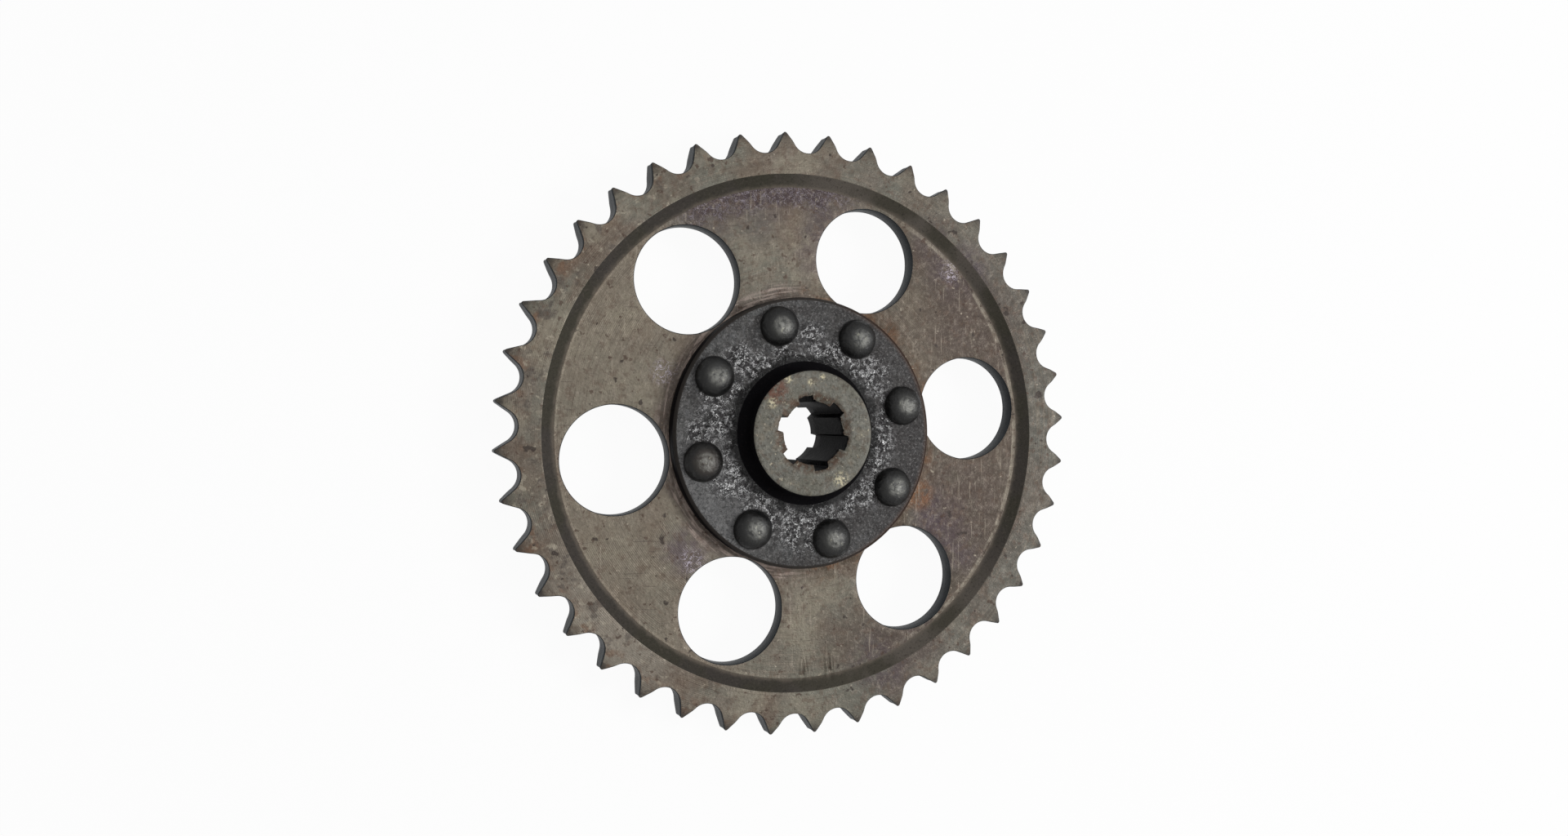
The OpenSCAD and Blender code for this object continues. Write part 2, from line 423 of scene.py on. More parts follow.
class Finish:
    """A material under construction: its nodes, its places in millimetres, and its colour so far."""

    def __init__(self, name, base):
        self.material = bpy.data.materials.new(name)
        self.material.use_nodes = True
        self.tree = self.material.node_tree
        self.tree.nodes.clear()
        where = add(self.tree, "ShaderNodeTexCoord").outputs["Object"]
        self.mm = add(self.tree, "ShaderNodeVectorMath", {0: where, 3: 1 / MM},
                      operation="SCALE").outputs[0]
        self.x, self.y, self.z = add(self.tree, "ShaderNodeSeparateXYZ", {0: self.mm}).outputs
        self.flat = add(self.tree, "ShaderNodeVectorMath", {0: self.mm, 1: (1, 1, 0)},
                        operation="MULTIPLY").outputs[0]
        self.r = add(self.tree, "ShaderNodeVectorMath", {0: self.flat},
                     operation="LENGTH").outputs["Value"]
        self.colour = add(self.tree, "ShaderNodeRGB").outputs[0]
        self.colour.default_value = srgb(base)
        self.bump = None

    def times(self, a, *others):
        """Masks multiplied: what is left lies in all of them."""
        for other in others:
            a = add(self.tree, "ShaderNodeMath", {0: a, 1: other}, operation="MULTIPLY").outputs[0]
        return a

    def either(self, a, b):
        """A mask that holds where either of two does."""
        return add(self.tree, "ShaderNodeMath", {0: a, 1: b}, operation="MAXIMUM").outputs[0]

    def level(self, mask, start, end):
        """A number that goes from start, where the mask is 0, to end, where it is 1."""
        return add(self.tree, "ShaderNodeMapRange", {"Value": mask, "To Min": start,
                                                     "To Max": end}).outputs[0]

    def wander(self, line, size, amount, detail=3.0, shift=0.0):
        """A distance whose lines of equal value wander by amount millimetres."""
        off = self.times(self.cloud(size, 0.3, 0.7, detail, shift), amount)
        return add(self.tree, "ShaderNodeMath", {0: line, 1: off}, operation="ADD").outputs[0]

    def ramp(self, value, low, high):
        """0 below low, 1 above high, or the other way round where low is the larger."""
        return add(self.tree, "ShaderNodeMapRange", {"Value": value, "From Min": low, "From Max": high},
                   interpolation_type="SMOOTHSTEP").outputs[0]

    def cloud(self, size, low, high, detail=3.0, shift=0.0, rough=0.55, stretch=(1, 1, 1)):
        """A mask from noise whose blobs are about size millimetres across."""
        moved = add(self.tree, "ShaderNodeMapping", {
            "Vector": self.mm, "Location": (shift, shift * 0.7, shift * 0.3), "Scale": stretch}).outputs[0]
        value = add(self.tree, "ShaderNodeTexNoise", {"Vector": moved, "Scale": 1 / size, "Detail": detail,
                                                      "Roughness": rough}).outputs["Fac"]
        return self.ramp(value, low, high)

    def streaks(self, width, low, high, detail=3.0, shift=0.0):
        """A mask of concentric streaks, about width millimetres across, like a turning tool leaves."""
        round_ = add(self.tree, "ShaderNodeVectorMath", {0: self.flat}, operation="NORMALIZE").outputs[0]
        turns = add(self.tree, "ShaderNodeVectorMath", {0: round_, 3: 5.0}, operation="SCALE").outputs[0]
        level = add(self.tree, "ShaderNodeCombineXYZ",
                    {0: shift, 2: self.times(self.r, 1 / width)}).outputs[0]
        where = add(self.tree, "ShaderNodeVectorMath", {0: turns, 1: level}, operation="ADD").outputs[0]
        value = add(self.tree, "ShaderNodeTexNoise", {"Vector": where, "Scale": 1.0,
                                                      "Detail": detail}).outputs["Fac"]
        return self.ramp(value, low, high)

    def wrinkles(self, size, width, shift=0.0):
        """A mask of thin winding ridges, about size millimetres apart, like dried skin."""
        moved = add(self.tree, "ShaderNodeMapping", {"Vector": self.mm,
                                                     "Location": (shift, shift, 0)}).outputs[0]
        value = add(self.tree, "ShaderNodeTexNoise", {"Vector": moved, "Scale": 1 / size, "Detail": 2.0,
                                                      "Roughness": 0.6, "Distortion": 1.2}).outputs["Fac"]
        return self.times(self.ramp(value, 0.5 - width, 0.5 - width / 2),
                          self.ramp(value, 0.5 + width, 0.5 + width / 2))

    def patch(self, x, y, size, soft=0.6):
        """A round mask on the face, centred on x, y."""
        return self.ramp(self.away(x, y), size, size * (1 - soft))

    def away(self, x, y):
        """Distance from the point x, y on the face, in millimetres."""
        return add(self.tree, "ShaderNodeVectorMath", {0: self.flat, 1: (x, y, 0)},
                   operation="DISTANCE").outputs["Value"]

    def tint(self, mask, code, amount=1.0, blend="MIX"):
        """Lays a colour over what is there, where the mask allows."""
        factor = self.times(mask, amount) if amount != 1.0 else mask
        mix = add(self.tree, "ShaderNodeMix", {"Factor": factor, "A": self.colour, "B": srgb(code)},
                  data_type="RGBA", blend_type=blend)
        self.colour = mix.outputs["Result"]

    def rough_up(self, height, depth):
        """Adds relief, depth millimetres from its lowest to its highest point."""
        inputs = {"Height": height, "Distance": depth * MM, "Strength": 1.0}
        if self.bump is not None:
            inputs["Normal"] = self.bump
        self.bump = add(self.tree, "ShaderNodeBump", inputs).outputs[0]

    def done(self, metallic, roughness, specular=0.5):
        inputs = {"Base Color": self.colour, "Metallic": metallic, "Roughness": roughness,
                  "Specular IOR Level": specular}
        if self.bump is not None:
            inputs["Normal"] = self.bump
        shader = add(self.tree, "ShaderNodeBsdfPrincipled", inputs).outputs[0]
        add(self.tree, "ShaderNodeOutputMaterial", {"Surface": shader})
        return self.material


def worn_plate_steel():
    """Machined medium-carbon steel under old oil and dust: warm grey, dull, mottled, finely pitted."""
    f = Finish("worn_machined_plate_steel", "#6d655b")
    east = f.ramp(f.x, -20, 95)
    west = f.ramp(f.x, 20, -80)
    on_rim = f.ramp(f.r, STEP_FOOT_R, STEP_TOP_R)
    on_web = f.ramp(f.r, STEP_TOP_R, STEP_FOOT_R)
    # slow drifts of tone: olive grey, browner grey, paler where hands and rags have rubbed
    f.tint(f.cloud(30, 0.42, 0.60), "#69695f", 0.8)
    f.tint(f.cloud(17, 0.47, 0.64, shift=40), "#655548", 0.65)
    f.tint(f.cloud(21, 0.50, 0.66, shift=90), "#878071", 0.7)
    f.tint(f.times(east, on_rim), "#56544e", 0.85)
    f.tint(f.times(west, on_web), "#7d7466", 0.65)
    f.tint(f.times(east, on_web), "#483d34", 0.95)
    f.tint(f.streaks(0.9, 0.50, 0.66), "#7c7265", 0.4)
    f.tint(f.streaks(0.7, 0.52, 0.68, shift=20), "#544a42", 0.4)
    # blots of dark, burnt oil, purple to brown, and paler olive places between them
    for x, y, size, code, amount in (
            (-30, 73, 10, "#4b4042", 0.5), (-14, 74, 10, "#4a3f41", 0.5), (9, 70, 10, "#4a4044", 0.7),
            (6, 60, 9, "#594d4c", 0.6), (60, 57, 12, "#453a42", 0.8),
            (50, 68, 10, "#4b4140", 0.7), (68, 40, 17, "#4d423d", 0.7), (78, 24, 11, "#50463f", 0.7),
            (54, -30, 11, "#43373f", 0.9), (61, -41, 10, "#4a3f42", 0.8), (74, -34, 13, "#4e443d", 0.7),
            (78, -12, 10, "#50473f", 0.6), (31, -80, 13, "#43383c", 0.8), (17, -72, 12, "#50463f", 0.5),
            (44, -72, 11, "#4c413f", 0.7), (-40, -40, 9, "#564a50", 0.7), (-88, -10, 12, "#5d4f45", 0.5),
            (90, -20, 12, "#5a5149", 0.6), (-78, 52, 12, "#5e5044", 0.6), (-46, 82, 10, "#5a4d42", 0.5),
            (62, -22, 16, "#4a3e38", 0.7), (56, 44, 17, "#4c413a", 0.6), (38, -68, 14, "#4c4139", 0.6)):
        blob = f.times(f.patch(x, y, size * 1.3, 0.7), f.cloud(6, 0.28, 0.54, 5, shift=x))
        f.tint(blob, code, amount)
    front = f.ramp(f.z, PLATE_BACK + 2, PLATE_BACK + 4)
    flow = f.wander(f.r, 7, 5.0, detail=4, shift=13)
    stain = f.times(f.ramp(flow, 78, 84), on_web, front, f.patch(-14, 84, 42, 0.5))
    f.tint(stain, "#3c3135", 0.9)
    # painted glints: pale lilac wrinkles in the dark stain by the step's foot
    f.tint(f.times(stain, f.wrinkles(2.0, 0.03, shift=36)), "#8f8790", 0.6)
    for x, y, size in ((-58, 12, 17), (-2, 64, 15), (-66, -38, 16), (0, -64, 15), (-40, -26, 12),
                       (-62, 40, 12), (10, 50, 9), (-20, -52, 8)):
        blob = f.times(f.patch(x, y, size, 0.9), f.cloud(3.5, 0.36, 0.62, 4, shift=y))
        f.tint(blob, "#878070", 0.5)
    f.tint(f.times(f.patch(-66, -66, 34, 0.8), on_rim), "#8b8479", 0.7)
    # rust-brown bloom and pale crumbs on the left teeth, and painted shade: a dark band over the bevelled
    # tips all round
    bloom = f.times(f.ramp(f.r, ROOT_R - 3, ROOT_R + 2), f.cloud(6, 0.50, 0.60, shift=15))
    f.tint(f.times(bloom, west), "#6f5340", 0.65)
    f.tint(f.times(on_rim, west, f.cloud(3.2, 0.57, 0.66, 4, shift=64)), "#a29a8a", 0.6)
    f.tint(f.times(on_rim, west, f.cloud(5.0, 0.56, 0.64, 4, shift=84)), "#4c4540", 0.7)
    # painted shade: the tips darkened where their bevel slopes away from the light
    f.tint(f.ramp(f.r, TIP_R - 3.4, TIP_R - 0.8), "#3a3735", 0.75)
    # scraped ring just outside the hub's flange on the left, and rust weeping from under it on the right
    wavy = f.wander(f.r, 9, 3.0, detail=2, shift=31)
    ring = f.times(f.ramp(wavy, 54.0, 49.5), f.ramp(f.x, 16, -10))
    f.tint(ring, "#5b504c", 0.7)
    # pale streaks in the scraped ring: turning marks, brightened as a painted highlight
    f.tint(f.times(ring, f.streaks(0.8, 0.47, 0.60, shift=40)), "#a8988f", 0.75)
    weep = f.times(f.ramp(wavy, 54.5, 49.0), f.ramp(f.x, -12, 14))
    f.tint(weep, "#46382b", 0.8)
    f.tint(f.times(weep, f.cloud(4.5, 0.48, 0.60, shift=60)), "#6b4a31", 0.6)
    f.tint(f.times(f.patch(46, -22, 7, 0.7), f.cloud(3, 0.32, 0.52)), "#7b5132", 0.65)
    # painted glints: small patches of bright lilac wrinkles where the oily film catches the light
    for x, y in ((-38, -43), (58, 58), (-48, 20)):
        gleam = f.times(f.patch(x, y, 6, 0.8), f.wrinkles(2.2, 0.035, shift=x))
        f.tint(gleam, "#bdb4c0", 0.75)
    # bright line along the foot of the step on the right: a little wear, and a painted highlight where the
    # fine ridge there catches the lamp
    foot = f.times(f.ramp(f.r, STEP_FOOT_R - 2.2, STEP_FOOT_R - 1.3),
                   f.ramp(f.r, STEP_FOOT_R - 0.2, STEP_FOOT_R - 0.8))
    f.tint(f.times(foot, front, f.ramp(f.x, 25, 60), f.cloud(5, 0.4, 0.55)), "#8e8679", 0.8)
    # grain, pits and specks
    f.tint(f.cloud(3.4, 0.52, 0.64, 5, shift=23, rough=0.65), "#5a4a3f", 0.5)
    f.tint(f.cloud(1.3, 0.48, 0.70, 5, shift=3, rough=0.7), "#978d80", 0.35)
    f.tint(f.cloud(1.1, 0.50, 0.70, 5, shift=33, rough=0.7), "#453d36", 0.45)
    f.tint(f.cloud(2.6, 0.64, 0.70, 3, shift=71), "#46362d", 0.75)
    f.tint(f.cloud(4.2, 0.68, 0.72, 2, shift=12), "#332b27", 0.85)
    f.tint(f.cloud(2.0, 0.70, 0.76, 2, shift=55), "#a89e8e", 0.6)
    # scratches and wipe marks, long and thin, some across and some down the face
    f.tint(f.times(on_web, f.cloud(0.7, 0.64, 0.70, 2, shift=18, stretch=(1, 0.05, 1))), "#9b9183", 0.4)
    f.tint(f.times(on_web, f.cloud(0.8, 0.66, 0.72, 2, shift=58, stretch=(0.06, 1, 1))), "#4b423c", 0.45)
    # turning marks, real ones 0.2 mm apart, drawn at 0.6 mm so that they show
    turns = f.times(f.r, math.tau / 0.6)
    wave = add(f.tree, "ShaderNodeMath", {0: turns}, operation="SINE").outputs[0]
    f.rough_up(f.times(wave, f.cloud(12, 0.4, 0.7, shift=8)), 0.02)
    f.rough_up(f.cloud(2.4, 0.3, 0.7, 4, shift=21), 0.07)
    f.rough_up(f.cloud(0.7, 0.3, 0.7, 3, shift=27), 0.04)
    return f.done(0.35, f.level(f.cloud(3, 0.3, 0.7, 4, shift=44), 0.42, 0.62), specular=0.25)


def dark_step_finish():
    """The sloping step: dark black-brown all round, paler at the top and at the bottom."""
    f = Finish("dark_finish_on_step", "#3e3a36")
    bottom = f.times(f.ramp(f.y, -30, -70), f.ramp(f.x, -10, 20))
    top = f.times(f.ramp(f.y, 30, 70), f.ramp(f.x, -20, 15))
    f.tint(f.either(bottom, top), "#5f5952", 0.9)
    f.tint(f.cloud(22, 0.42, 0.6), "#3a382e", 0.7)
    f.tint(f.cloud(1.0, 0.5, 0.75, 4, shift=9), "#57504a", 0.4)
    f.tint(f.cloud(0.8, 0.5, 0.75, 4, shift=19), "#211e1c", 0.5)
    foot = f.ramp(f.wander(f.r, 3, 0.8), STEP_FOOT_R + 1.6, STEP_FOOT_R - 0.2)
    f.tint(foot, "#60584f", 0.8)
    f.rough_up(f.cloud(0.9, 0.3, 0.7, 3), 0.03)
    return f.done(0.3, 0.6, specular=0.1)


def oily_wall_steel_painted_shade():
    """Sawn and bored edges: blue-black with oil, and painted dark as shade, as little light reaches these
    walls.
    """
    f = Finish("oily_edge_steel_painted_shade", "#25292c")
    f.tint(f.cloud(10, 0.45, 0.62), "#383d40", 0.6)
    f.tint(f.cloud(1.6, 0.5, 0.7, 4, shift=20), "#141517", 0.6)
    f.rough_up(f.cloud(1.2, 0.3, 0.7, 3), 0.03)
    return f.done(0.3, 0.5, specular=0.12)


plate = build_plate([worn_plate_steel(), dark_step_finish(), oily_wall_steel_painted_shade()])
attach(plate, "root")
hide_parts("sprocket_plate")

# ---------------------------------------------------------------------------------------------
# Splined hub. The real one is forged and turned in one piece: flange, front boss, register and rear
# boss, with a broached six-groove bore. Its flange keeps a thick, lumpy skin of old black oil; the
# boss's end has been rubbed to bare grey steel, and the mouth of the splines is chipped and burred.

hub_low, hub_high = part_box("splined_hub")
HUB_BACK = hub_low.z / MM
HUB_FRONT = hub_high.z / MM
BOSS_R = 21.1
BOSS_FILLET = 4.5
BOSS_EDGE = 0.5
FLANGE_R = 46.2
FLANGE_T = 6.4
FLANGE_EDGE = 1.0
FLANGE_FACE = WEB_FACE + FLANGE_T
REGISTER_R = 26.1
SPLINE_MINOR_R = 10.5
SPLINE_MAJOR_R = 12.5
GROOVE_W = 5.0
GROOVE_TURN = 44.0
GROOVES = 6
SECTOR = 360 / GROOVES
FLANGE_LUMPS = ((0.9, 0.10), (0.35, 0.09), (2.1, 0.05))   # lumps per millimetre, and their height


def spline_angles():
    """Angles round one groove's sector, closest together on the groove's sides."""
    deep = math.degrees(math.asin(GROOVE_W / 2 / SPLINE_MAJOR_R))
    shallow = math.degrees(math.asin(GROOVE_W / 2 / SPLINE_MINOR_R))
    stops = ((-SECTOR / 2, 24), (-shallow, 8), (-deep, 36), (deep, 8), (shallow, 24), (SECTOR / 2, 0))
    angles = []
    for (start, steps), (end, _) in zip(stops, stops[1:]):
        angles += [start + (end - start) * i / steps for i in range(steps)]
    return angles


def build_hub(materials):
    SKIN, FACE, BLACK = 0, 1, 2
    shell = Shell()
    sector = spline_angles()
    bore_angles = [GROOVE_TURN + SECTOR * s + a for s in range(GROOVES) for a in sector]
    count = len(bore_angles)
    even = [GROOVE_TURN - SECTOR / 2 + 360 * i / count for i in range(count)]

    def off_groove(angle):
        """Degrees from the middle of the nearest groove."""
        return abs((angle - GROOVE_TURN + SECTOR / 2) % SECTOR - SECTOR / 2)

    def spline_r(angle):
        wall = GROOVE_W / 2 / max(1e-6, math.sin(math.radians(off_groove(angle))))
        return min(SPLINE_MAJOR_R, max(SPLINE_MINOR_R, wall))

    def chip(angle):
        """How far the spline's mouth is broken back, in millimetres; a burr is negative."""
        spot = polar(3.2, angle)
        ragged = noise.noise(spot * 1.7) + 0.6 * noise.noise(spot * 5)
        corner = math.exp(-((off_groove(angle) - 13.5) / 4.0) ** 2)
        return 0.12 + max(0.0, ragged) * (0.35 + 0.75 * corner) - 0.25 * max(0.0, -ragged - 0.45)

    def spline_ring(z, give):
        return shell.ring(polar(spline_r(a) + give(a), a, z) for a in bore_angles)

    def plain_ring(radius, z, blend=1.0):
        return shell.ring(polar(radius, b + (e - b) * blend, z) for b, e in zip(bore_angles, even))

    # Down the bore from the chipped mouth to the clean rear end
    mouth = spline_ring(HUB_FRONT - 0.02, chip)
    rows = [mouth, spline_ring(HUB_FRONT - 0.35, lambda a: 0.55 * chip(a)),
            spline_ring(HUB_FRONT - 1.1, lambda a: 0.12 * max(0.0, chip(a)))]
    rows += [spline_ring(z, lambda a: 0.0) for z in (HUB_FRONT - 2, 24, 18, 12, 6, HUB_BACK + 0.3)]
    tail = spline_ring(HUB_BACK, lambda a: 0.3)
    rows.append(tail)
    for a, b in zip(rows, rows[1:]):
        shell.band(a, b, BLACK)

    # Front face of the boss, then everything outside it as one turned profile
    ring = mouth
    for k, radius in enumerate((14.2, 15.4, 16.6, 17.8, 19.0, 20.0, BOSS_R - BOSS_EDGE)):
        nearer = plain_ring(radius, HUB_FRONT, (k + 1) / 7)
        shell.band(ring, nearer, FACE)
        ring = nearer
    profile = [(BOSS_R - 0.12, HUB_FRONT - 0.2, FACE), (BOSS_R, HUB_FRONT - BOSS_EDGE, BLACK)]
    fillet_top = FLANGE_FACE + BOSS_FILLET
    profile += [(BOSS_R, z, BLACK) for z in (HUB_FRONT - 1.2, HUB_FRONT - 2.2, fillet_top)]
    for i in range(1, 13):
        a = math.radians(90 * i / 12)
        radius = BOSS_R + BOSS_FILLET * (1 - math.cos(a))
        profile.append((radius, fillet_top - BOSS_FILLET * math.sin(a), BLACK if i < 11 else SKIN))
    first_flat = BOSS_R + BOSS_FILLET
    last_flat = FLANGE_R - FLANGE_EDGE
    rings = 40
    profile += [(first_flat + (last_flat - first_flat) * i / rings, FLANGE_FACE, SKIN)
                for i in range(1, rings + 1)]
    profile += [(FLANGE_R - 0.72, FLANGE_FACE - 0.2, BLACK), (FLANGE_R - 0.18, FLANGE_FACE - 0.75, BLACK),
                (FLANGE_R, FLANGE_FACE - FLANGE_EDGE - 0.1, BLACK), (FLANGE_R, WEB_FACE + 2, BLACK),
                (FLANGE_R, WEB_FACE + 0.25, BLACK), (FLANGE_R - 0.25, WEB_FACE + 0.02, BLACK),
                (REGISTER_R, WEB_FACE + 0.02, BLACK), (REGISTER_R, PLATE_BACK + 0.3, BLACK),
                (REGISTER_R - 0.3, PLATE_BACK, FACE), (BOSS_R + 0.8, PLATE_BACK, FACE),
                (BOSS_R, PLATE_BACK - 0.8, BLACK), (BOSS_R, 5, BLACK),
                (BOSS_R, HUB_BACK + BOSS_EDGE, BLACK), (BOSS_R - BOSS_EDGE, HUB_BACK, FACE),
                (18, HUB_BACK, FACE), (15, HUB_BACK, FACE)]
    for radius, z, kind in profile:
        turned = 1.0 if radius > 19 else (radius - 12) / 8
        nearer = plain_ring(radius, z, turned)
        shell.band(ring, nearer, kind)
        ring = nearer
    shell.band(ring, tail, FACE)

    # The lumpy skin of oil on the flange, trodden down beside each rivet, and small knocks on edges
    for p in shell.points:
        r = p.xy.length
        if abs(p.z - FLANGE_FACE) < 0.3 and first_flat - 1.5 < r < last_flat + 0.1:
            near = min((p.xy - c.xy).length for c in rivet_centres)
            fade = min(1.0, (last_flat + 0.1 - r) / 1.6)
            spot = Vector((p.x, p.y, 0))
            lump = sum(height * noise.noise(spot * pace) for pace, height in FLANGE_LUMPS)
            dish = -0.12 * math.exp(-((near - 8.6) / 0.9) ** 2)
            p.z += fade * (lump + dish) - 0.03
        if r > BOSS_R - 0.7 and p.z > HUB_FRONT - 0.4:
            p.z -= 0.12 * max(0.0, noise.noise(p * 0.8))
        if 13.8 < r < BOSS_R - 0.7 and p.z > HUB_FRONT - 0.1:
            p.z -= 0.03 + 0.03 * noise.noise(p * 0.5)
    return shell.piece("hub_forging", materials)


def oil_skin():
    """Forged steel under a lumpy skin of old oil and dirt: dark grey, with patches that glint all over,
    from their bumps and from painted white glints.
    """
    f = Finish("forged_steel_under_old_oil", "#565554")
    f.tint(f.cloud(13, 0.42, 0.60, shift=3), "#3b3837", 0.8)
    f.tint(f.cloud(8, 0.50, 0.64, shift=50), "#5b5c5c", 0.7)
    f.tint(f.cloud(3.2, 0.45, 0.58, 4, shift=88, rough=0.65), "#252323", 0.7)
    f.tint(f.cloud(3.0, 0.52, 0.64, 4, shift=98, rough=0.65), "#6b6c6d", 0.5)
    f.tint(f.ramp(f.x, -5, 40), "#312d2d", 0.7)
    f.tint(f.times(f.ramp(f.x, -8, -30), f.ramp(f.y, 8, -12)), "#7b7b7b", 0.6)
    # the skin is thick round the boss and in patches between the rivets
    thick = f.times(f.ramp(f.r, 35, 28), f.cloud(5, 0.38, 0.56, 3, shift=14))
    for x, y, size in ((-30, 5, 10), (-24, 24, 8), (-27, -14, 11), (-15, -27, 11),
                       (-1, -32, 12), (-36, 0, 8), (25, 20, 9), (27, -3, 8), (22, -20, 8), (-33, 13, 6),
                       (2, 33, 7), (12, 27, 7)):
        spot = f.times(f.patch(x, y, size, 0.75), f.cloud(3.5, 0.32, 0.52, 3, shift=x))
        thick = f.either(thick, spot)
    thick = f.times(thick, f.ramp(f.r, 45.0, 42.5))
    f.tint(thick, "#3d3a3c", 0.75)
    # painted glints: thin white wrinkles in the thick skin, standing in for the lamp's glints off its lumps
    glints = f.times(f.wrinkles(1.0, 0.055, shift=70), thick, f.cloud(1.8, 0.45, 0.53, 3))
    pits = f.times(f.cloud(1.5, 0.49, 0.57, 4, shift=110, rough=0.7),
                  f.level(thick, 0.25, 1.0))
    f.tint(pits, "#0a0909", 0.95)
    f.tint(glints, "#ffffff", 1.0)
    f.tint(f.cloud(0.9, 0.50, 0.66, 4, shift=25, rough=0.7), "#8b8988", 0.5)
    f.tint(f.wrinkles(3.5, 0.022, shift=15), "#151414", 0.6)
    f.tint(f.cloud(1.0, 0.50, 0.66, 4, shift=29, rough=0.7), "#171615", 0.55)
    # a black ring round the foot of the boss: old oil, and painted shade in the corner between boss and
    # flange
    oil_and_shade_ring = f.wander(f.r, 4, 3.0, detail=4, shift=9)
    f.tint(f.ramp(oil_and_shade_ring, 29.5, 27.0), "#0b0a0a", 0.9)
    # a hair-thin crack in the skin, curving round the left-hand rivet
    wobble = f.wander(f.away(-33.5, -5.0), 6, 0.8, detail=2)
    crack = f.times(f.ramp(wobble, 9.2, 9.4), f.ramp(wobble, 9.75, 9.5))
    f.tint(f.times(crack, f.ramp(f.y, -6, -2)), "#121111", 0.85)
    # a breath of rust on the right-hand rim
    rust = f.times(f.ramp(f.r, 43.8, 45.6), f.ramp(f.x, 5, 30))
    f.tint(rust, "#4c3a30", 0.7)
    relief = f.level(thick, 0.4, 1.0)
    f.rough_up(f.times(f.cloud(1.25, 0.35, 0.65, 4, shift=7, rough=0.65), relief), 0.30)
    f.rough_up(f.times(f.wrinkles(1.0, 0.09, shift=70), relief), 0.14)
    return f.done(0.25, f.level(thick, 0.5, 0.2), specular=0.35)


def rubbed_boss_face():
    """The end of the boss, rubbed clean: grey-olive steel with pale specks and a rust patch."""
    f = Finish("rubbed_boss_end_steel", "#65645d")
    f.tint(f.cloud(7, 0.42, 0.62), "#5b594f", 0.7)
    f.tint(f.cloud(2.6, 0.52, 0.64, 4, shift=61), "#51463c", 0.6)
    f.tint(f.cloud(5, 0.5, 0.66, shift=30), "#716a5d", 0.6)
    f.tint(f.times(f.patch(-13.5, 14, 6, 0.6), f.cloud(2, 0.35, 0.52, 3)), "#5f3d30", 0.85)
    f.tint(f.times(f.ramp(f.r, 14.6, 12.4), f.cloud(2.2, 0.36, 0.56, 3)), "#4c3628", 0.8)
    for x, y, size in ((10, -15.5, 3.6), (-14.5, 10, 2.4), (-9, 18, 2), (-1, 17, 1.6), (3, 19, 1.4)):
        f.tint(f.times(f.patch(x, y, size, 0.7), f.cloud(0.9, 0.42, 0.54, 3)), "#c2b99c", 0.85)
    f.tint(f.cloud(1.1, 0.5, 0.68, 4, shift=5, rough=0.7), "#8a877c", 0.5)
    f.tint(f.cloud(1.2, 0.5, 0.66, 5, shift=15, rough=0.7), "#37332d", 0.65)
    f.tint(f.cloud(1.8, 0.66, 0.72, 2, shift=95), "#a89f8b", 0.7)
    f.rough_up(f.cloud(1.0, 0.3, 0.7, 4), 0.07)
    return f.done(0.3, 0.5, specular=0.25)


def black_oily_side_painted_shade():
    """Turned sides of the boss and the flange, and the bore: black with oil, and painted near-black as
    shade, as little light reaches them.
    """
    f = Finish("oily_hub_side_painted_shade", "#0e0d0f")
    f.tint(f.cloud(6, 0.45, 0.62), "#0f0f11", 0.7)
    chamfer = f.ramp(f.z, FLANGE_FACE - 1.5, FLANGE_FACE - 0.9)
    rim = f.times(chamfer, f.ramp(f.r, 44.8, 45.1))
    f.tint(rim, "#46423f", 0.9)
    f.tint(f.times(rim, f.ramp(f.x, 5, 30)), "#3f3028", 0.8)
    f.tint(f.cloud(0.9, 0.55, 0.75, 4), "#2c2827", 0.4)
    f.rough_up(f.cloud(1.1, 0.3, 0.7, 4), 0.06)
    return f.done(0.0, 0.5, specular=0.02)


hub = build_hub([oil_skin(), rubbed_boss_face(), black_oily_side_painted_shade()])
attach(hub, "root")
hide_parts("splined_hub")

# ---------------------------------------------------------------------------------------------
# Rivets. Round-headed steel rivets, closed hot through flange and plate, so that there is a dome on
# both sides. Each dome is a little uneven and its top is scuffed where the setting tool sat; the top is
# also painted paler as a highlight, and each dome's foot is painted dark as shade.

RIVET_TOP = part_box(rivet_names[0])[1].z / MM
HEAD_D = 13.6
HEAD_H = RIVET_TOP - FLANGE_FACE
SHANK_D = 8.0
GRIP = FLANGE_FACE - PLATE_BACK
RIVET_TURN = math.degrees(math.atan2(rivet_centres[0].y, rivet_centres[0].x))


def scuffed_rivet_steel_painted_light():
    """Black rivet steel with a dull oily sheen; the dome's top is scuffed to paler grey and painted paler
    still as a highlight, and its foot is painted dark as shade.
    """
    f = Finish("scuffed_black_rivet_steel_painted_light", "#41413f")
    f.tint(f.cloud(5, 0.42, 0.62), "#343435", 0.7)
    f.tint(f.patch(-36, -10, 9, 0.3), "#3f362f", 0.7)
    # painted shade: each dome darkened towards its foot, for its shaded side and the corner on the flange
    foot = f.ramp(f.z, FLANGE_FACE + 4.8, FLANGE_FACE + 3.0)
    f.tint(foot, "#070707", 0.95)
    # the top of each dome: scuffed, and painted paler as a highlight too
    top = f.ramp(f.z, RIVET_TOP - 0.9, RIVET_TOP - 0.1)
    f.tint(f.times(top, f.cloud(1.8, 0.34, 0.58, 4, shift=5)), "#92928c", 0.8)
    f.tint(f.times(top, f.cloud(1.3, 0.60, 0.66, 3, shift=8)), "#b0af9e", 0.7)
    f.tint(f.cloud(0.8, 0.52, 0.72, 4, shift=22), "#474644", 0.25)
    f.rough_up(f.cloud(1.6, 0.3, 0.7, 4, shift=6), 0.12)
    f.rough_up(f.cloud(0.6, 0.3, 0.7, 3, shift=9), 0.04)
    return f.done(0.15, 0.34, specular=0.3)


